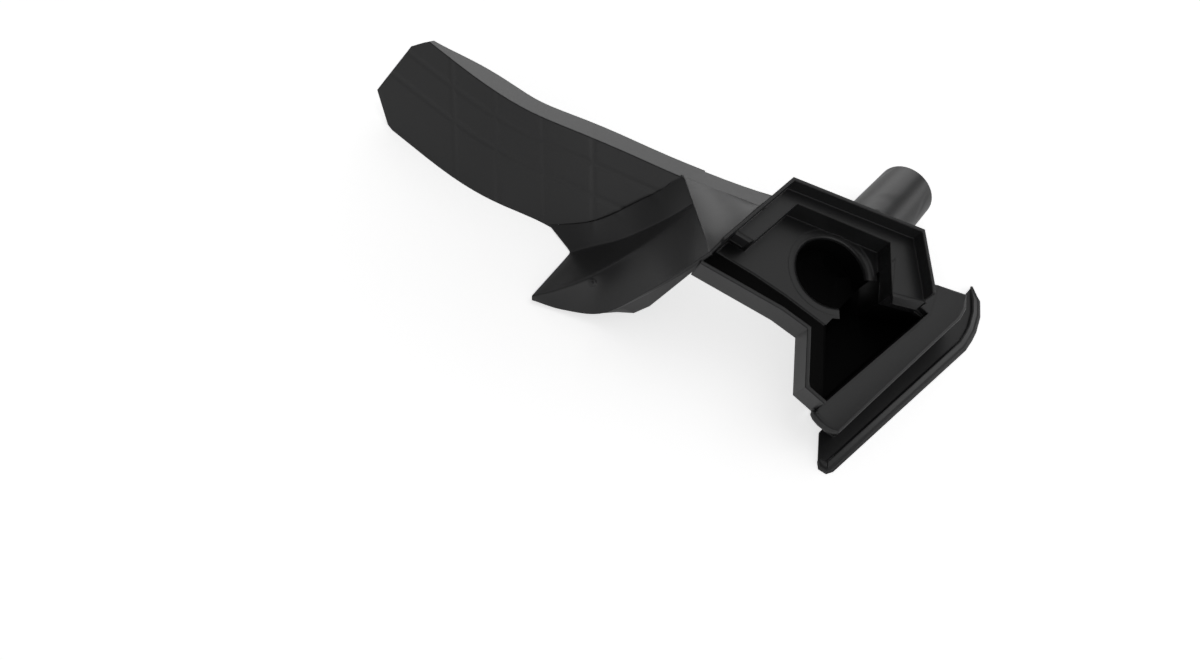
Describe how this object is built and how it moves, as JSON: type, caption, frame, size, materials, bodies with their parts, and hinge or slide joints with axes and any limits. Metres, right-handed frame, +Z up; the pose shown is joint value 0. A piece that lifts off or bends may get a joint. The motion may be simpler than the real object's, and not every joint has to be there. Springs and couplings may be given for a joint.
{
  "type": "mower mulching plug",
  "caption": "Black moulded plastic plug that closes a mower's discharge chute for mulching, with a tray, a round grip and a long curved tongue.",
  "frame": {"origin": "middle of the plug's footprint, at bench level", "axes": "+X from the tongue's tip towards the tray, +Y from the flange towards the tongue's back, +Z up"},
  "size_m": [0.3722, 0.2672, 0.093],
  "materials": {
    "plug": "satin black, as moulded"
  },
  "bodies": {
    "root": {"mulching_plug": "plug"}
  },
  "joints": []
}
